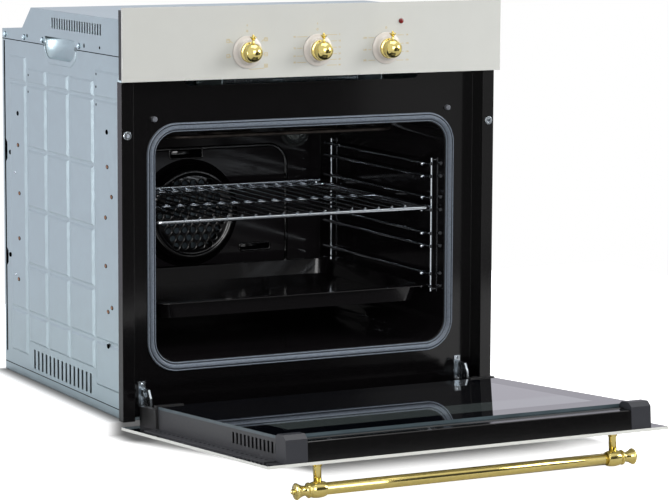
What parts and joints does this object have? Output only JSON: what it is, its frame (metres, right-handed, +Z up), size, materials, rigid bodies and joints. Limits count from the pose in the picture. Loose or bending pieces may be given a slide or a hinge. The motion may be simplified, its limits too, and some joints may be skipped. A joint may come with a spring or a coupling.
{
  "type": "built-in oven",
  "caption": "Built-in electric oven with a drop-down glass door on sprung hinges, a bar handle, side racks, a wire shelf, a baking tray and turning control knobs.",
  "frame": {"origin": "centre of the base tray's underside", "axes": "+X to the right seen from the front, +Y to the rear, +Z up"},
  "size_m": [0.595, 0.9811, 0.5989],
  "materials": {
    "zinc_sheet": "galvanised sheet",
    "black_enamel": "baked black enamel",
    "steel": "plain steel",
    "zinc_bright": "bright zinc plate",
    "chrome_wire": "chromed wire",
    "element_steel": "dark tube",
    "seal_grey": "silicone",
    "wool": "mineral wool",
    "cream_glass": "back-painted glass",
    "clear_glass": "float glass",
    "black_plastic": "moulded",
    "gloss_black": "gloss moulded",
    "slate_plastic": "moulded",
    "grey_sheet": "grey coated sheet",
    "cream_plastic": "moulded",
    "brass": "lacquered",
    "red_lens": "clear red",
    "porcelain": "glazed"
  },
  "bodies": {
    "case": {"base_tray": "zinc_sheet", "left_side_panel": "zinc_sheet", "right_side_panel": "zinc_sheet", "rear_panel": "zinc_sheet", "top_housing": "zinc_sheet", "case_screws": "steel", "front_frame": "black_enamel", "cabinet_bushes": "zinc_bright", "door_bumpers": "seal_grey", "door_seal": "seal_grey", "cavity_box": "black_enamel", "fan_cover": "black_enamel", "fan_motor": "steel", "grill_element": "element_steel", "base_element": "element_steel", "lamp_lens": "clear_glass", "lamp_socket": "porcelain", "lamp_bulb": "clear_glass", "insulation_wrap": "wool", "side_racks": "chrome_wire", "hinge_receivers": "zinc_bright", "hinge_arms": "zinc_bright", "fascia_glass": "cream_glass", "fascia_carrier": "black_plastic", "control_switches": "black_plastic", "pilot_lamp": "red_lens", "blower_housing": "zinc_sheet", "blower_motor": "steel", "terminal_box": "black_plastic"},
    "door": {"door_outer_glass": "clear_glass", "door_inner_glass": "clear_glass", "door_side_channels": "grey_sheet", "door_top_rail": "gloss_black", "door_bottom_rail": "steel", "door_corner_caps": "slate_plastic", "glass_holders": "black_plastic", "hinge_channels": "steel", "hinge_pins": "steel", "handle_bar": "brass", "handle_posts": "brass", "handle_finials": "brass", "handle_screws": "steel"},
    "hinge_rods": {"hinge_rods": "steel", "hinge_springs": "steel"},
    "left_latch": {"left_hinge_latch": "zinc_bright"},
    "right_latch": {"right_hinge_latch": "zinc_bright"},
    "wire_shelf": {"wire_shelf": "chrome_wire"},
    "baking_tray": {"baking_tray": "black_enamel"},
    "convection_fan": {"convection_impeller": "steel"},
    "cooling_fan": {"blower_rotor": "steel"},
    "function_knob": {"function_knob_skirt": "cream_plastic", "function_knob_grip": "brass", "function_spindle": "steel"},
    "timer_knob": {"timer_knob_skirt": "cream_plastic", "timer_knob_grip": "brass", "timer_spindle": "steel"},
    "thermostat_knob": {"thermostat_knob_skirt": "cream_plastic", "thermostat_knob_grip": "brass", "thermostat_spindle": "steel"}
  },
  "joints": [
    {"name": "door_hinge", "type": "hinge", "parent": "case", "child": "door", "pos_m": [0, -0.2694, 0.0053], "axis": [-1, 0, 0], "range_deg": [0, 85.76]},
    {"name": "hinge_rod_slide", "type": "slide", "parent": "door", "child": "hinge_rods", "axis": [0, -0.9973, 0.0739], "range_m": [0, 0.0181]},
    {"name": "left_latch_flip", "type": "hinge", "parent": "case", "child": "left_latch", "pos_m": [-0.2566, -0.252, 0.04], "axis": [-1, 0, 0], "range_deg": [-45, 0]},
    {"name": "right_latch_flip", "type": "hinge", "parent": "case", "child": "right_latch", "pos_m": [0.2566, -0.252, 0.04], "axis": [-1, 0, 0], "range_deg": [-45, 0]},
    {"name": "wire_shelf_slide", "type": "slide", "parent": "case", "child": "wire_shelf", "axis": [0, 1, 0], "range_m": [-0.3, 0]},
    {"name": "baking_tray_slide", "type": "slide", "parent": "case", "child": "baking_tray", "axis": [0, 1, 0], "range_m": [-0.3, 0]},
    {"name": "function_knob_turn", "type": "hinge", "parent": "case", "child": "function_knob", "pos_m": [-0.1095, -0.3, 0.517], "axis": [0, 1, 0], "range_deg": [0, 300]},
    {"name": "timer_knob_turn", "type": "hinge", "parent": "case", "child": "timer_knob", "pos_m": [0, -0.3, 0.517], "axis": [0, 1, 0], "range_deg": [0, 330]},
    {"name": "thermostat_knob_turn", "type": "hinge", "parent": "case", "child": "thermostat_knob", "pos_m": [0.1095, -0.3, 0.517], "axis": [0, 1, 0], "range_deg": [0, 280]},
    {"name": "convection_fan_spin", "type": "hinge", "parent": "case", "child": "convection_fan", "pos_m": [0, 0.165, 0.235], "axis": [0, 1, 0], "continuous": true},
    {"name": "cooling_fan_spin", "type": "hinge", "parent": "case", "child": "cooling_fan", "pos_m": [0, -0.15, 0.4655], "axis": [1, 0, 0], "continuous": true}
  ],
  "couplings": [
    {"joint": "hinge_rod_slide", "follows": "door_hinge", "m_per_rad": 0.012}
  ]
}
